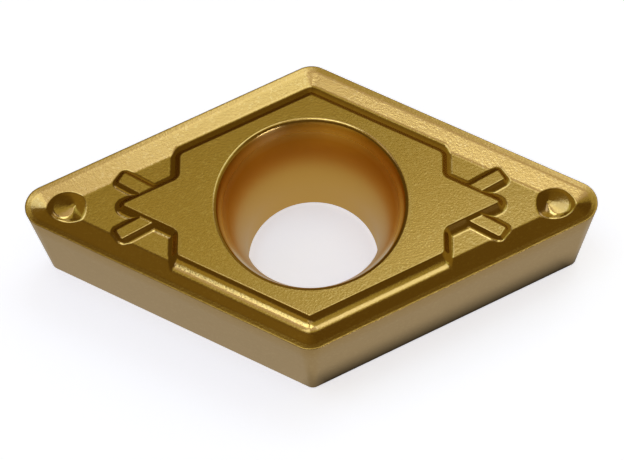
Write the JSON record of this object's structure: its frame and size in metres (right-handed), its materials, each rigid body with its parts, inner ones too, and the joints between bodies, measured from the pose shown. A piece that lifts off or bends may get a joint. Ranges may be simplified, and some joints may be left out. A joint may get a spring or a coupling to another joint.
{
  "type": "carbide insert",
  "caption": "Rhombic indexable turning insert with round noses, tapered flanks, a moulded chip breaker and a countersunk screw hole, under a gold coating.",
  "frame": {"origin": "centre of the flat seating face, on the axis of the screw hole", "axes": "+X through one 55 degree nose, +Z along the screw hole up to the cutting edges"},
  "size_m": [0.0188, 0.0106, 0.0041],
  "materials": {
    "coating": "satin gold vapour coating over fine sintered grain"
  },
  "bodies": {
    "root": {"insert": "coating"}
  },
  "joints": []
}
